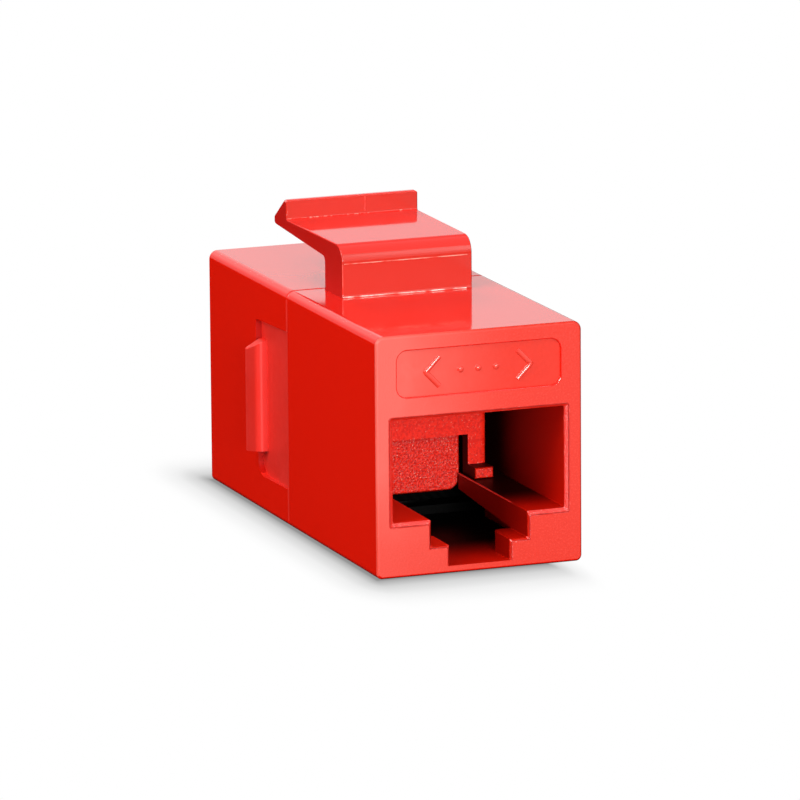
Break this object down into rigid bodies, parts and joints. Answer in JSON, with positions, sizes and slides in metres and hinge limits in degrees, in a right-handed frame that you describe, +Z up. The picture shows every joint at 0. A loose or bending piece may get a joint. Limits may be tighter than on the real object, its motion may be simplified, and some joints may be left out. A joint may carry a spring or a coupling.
{
  "type": "rj45 inline coupler",
  "caption": "Red inline coupler with an RJ45 port at each end, a spring latch on top and snap lugs on both sides, for a snap-in panel opening.",
  "frame": {"origin": "centre of the bounding box's bottom, on the flat underside", "axes": "+Z up through the latch, front mouth facing -Y, rear mouth facing +Y, X across the body"},
  "size_m": [0.0164, 0.0324, 0.0211],
  "materials": {
    "housing_red": "moulded ABS, glossy sides, fine spark-eroded texture on the end faces",
    "carrier_red": "moulded, coarse texture on the back panel",
    "board_black": "glass-epoxy board with a matte black solder mask",
    "contact_gold": "gold-plated phosphor bronze strip"
  },
  "bodies": {
    "root": {"front_housing": "housing_red", "rear_housing": "housing_red", "front_contact_carrier": "carrier_red", "rear_contact_carrier": "carrier_red", "circuit_board": "board_black", "front_contact_1": "contact_gold", "front_contact_2": "contact_gold", "front_contact_3": "contact_gold", "front_contact_4": "contact_gold", "front_contact_5": "contact_gold", "front_contact_6": "contact_gold", "front_contact_7": "contact_gold", "front_contact_8": "contact_gold", "rear_contact_1": "contact_gold", "rear_contact_2": "contact_gold", "rear_contact_3": "contact_gold", "rear_contact_4": "contact_gold", "rear_contact_5": "contact_gold", "rear_contact_6": "contact_gold", "rear_contact_7": "contact_gold", "rear_contact_8": "contact_gold"}
  },
  "joints": []
}
